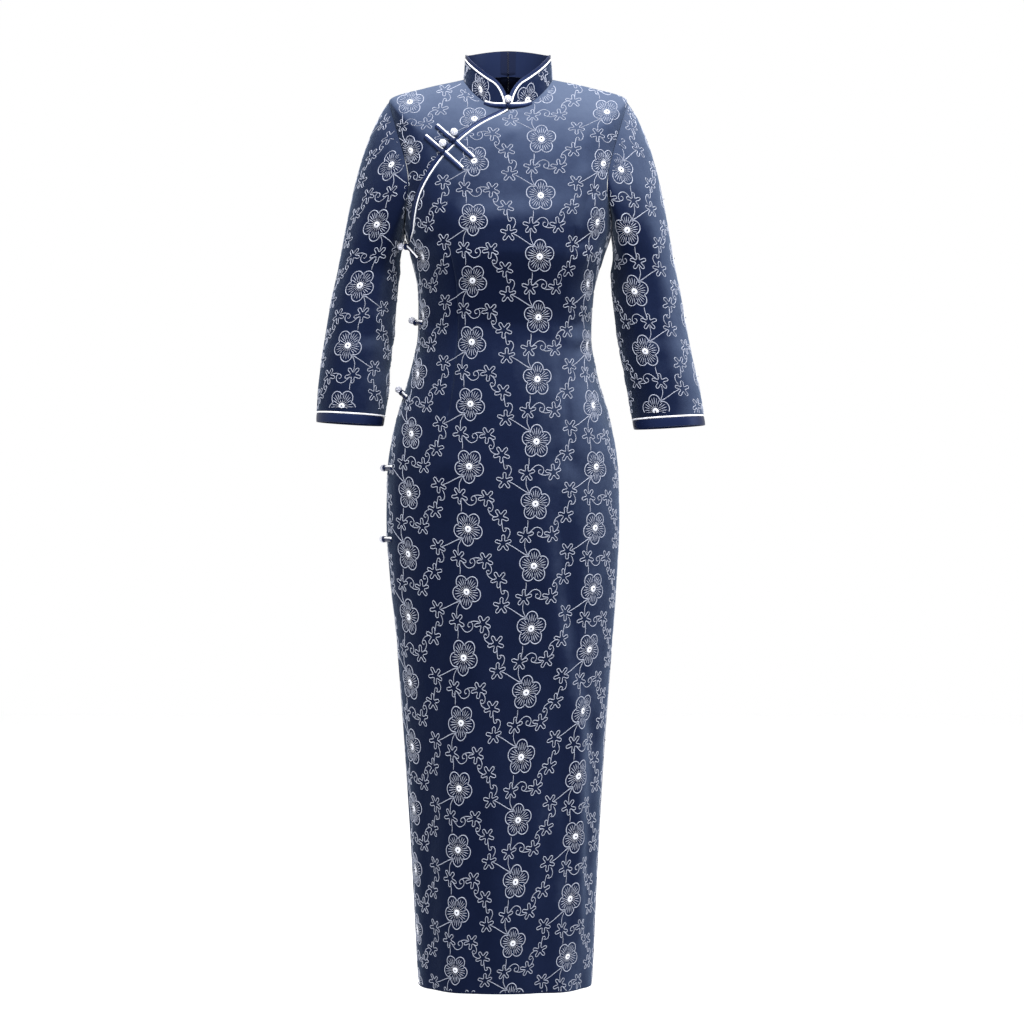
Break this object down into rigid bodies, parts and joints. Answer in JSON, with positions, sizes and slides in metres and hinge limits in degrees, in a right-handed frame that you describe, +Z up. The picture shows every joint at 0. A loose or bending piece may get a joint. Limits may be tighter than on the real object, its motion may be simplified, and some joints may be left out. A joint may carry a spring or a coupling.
{
  "type": "cheongsam dress",
  "caption": "Fitted navy velvet cheongsam, calf length, with standing collar, slanted side opening, knotted frogs with beads, set-in three-quarter sleeves and side slits, hollow as if worn.",
  "frame": {"origin": "the middle of the neck opening at the height of the collar's base at the sides, where the dress is carried on the shoulders", "axes": "+Z up along the wearer's body, +X towards the wearer's left, -Y out of the front"},
  "size_m": [0.5661, 0.26, 1.3698],
  "materials": {
    "velvet": "navy velvet, matt with a pale blue sheen at grazing angles",
    "navy_satin": "dark navy satin, softly glossy",
    "white_satin": "white satin cord, softly glossy",
    "bead": "white sparkling beadwork",
    "zip_tape": "woven navy tape",
    "zip_metal": "navy enamelled metal"
  },
  "bodies": {
    "dress": {"back_left": "velvet", "back_right": "velvet", "chest_frog_1_bead": "bead", "chest_frog_1_knob": "navy_satin", "chest_frog_1_loop": "navy_satin", "chest_frog_2_bead": "bead", "chest_frog_2_knob": "navy_satin", "chest_frog_2_loop": "navy_satin", "collar_binding_left": "navy_satin", "collar_binding_right": "navy_satin", "collar_left": "velvet", "collar_lining_left": "navy_satin", "collar_lining_right": "navy_satin", "collar_piping_left": "white_satin", "collar_piping_right": "white_satin", "collar_right": "velvet", "cuff_band_left": "navy_satin", "cuff_band_right": "navy_satin", "cuff_piping_left": "white_satin", "cuff_piping_right": "white_satin", "front_main": "velvet", "front_underlap": "velvet", "neck_frog_bead": "bead", "neck_frog_knob": "navy_satin", "neck_frog_loop": "navy_satin", "opening_binding": "navy_satin", "opening_piping": "white_satin", "side_frog_1_bead": "bead", "side_frog_1_knob": "navy_satin", "side_frog_1_loop": "navy_satin", "side_frog_2_bead": "bead", "side_frog_2_knob": "navy_satin", "side_frog_2_loop": "navy_satin", "side_frog_3_bead": "bead", "side_frog_3_knob": "navy_satin", "side_frog_3_loop": "navy_satin", "side_frog_4_bead": "bead", "side_frog_4_knob": "navy_satin", "side_frog_4_loop": "navy_satin", "side_frog_5_bead": "bead", "side_frog_5_knob": "navy_satin", "side_frog_5_loop": "navy_satin", "sleeve_left": "velvet", "sleeve_right": "velvet", "slit_binding_back_left": "navy_satin", "slit_binding_back_right": "navy_satin", "slit_binding_front_left": "navy_satin", "slit_binding_front_right": "navy_satin", "zip_slider": "zip_metal", "zip_tape_left": "zip_tape", "zip_tape_right": "zip_tape"},
    "zip_pull": {"zip_pull": "zip_metal"}
  },
  "joints": [
    {"name": "zip_pull_swing", "type": "hinge", "parent": "dress", "child": "zip_pull", "pos_m": [0, 0.05752, 0.03563], "axis": [1, 0, 0], "range_deg": [0, 165]}
  ]
}
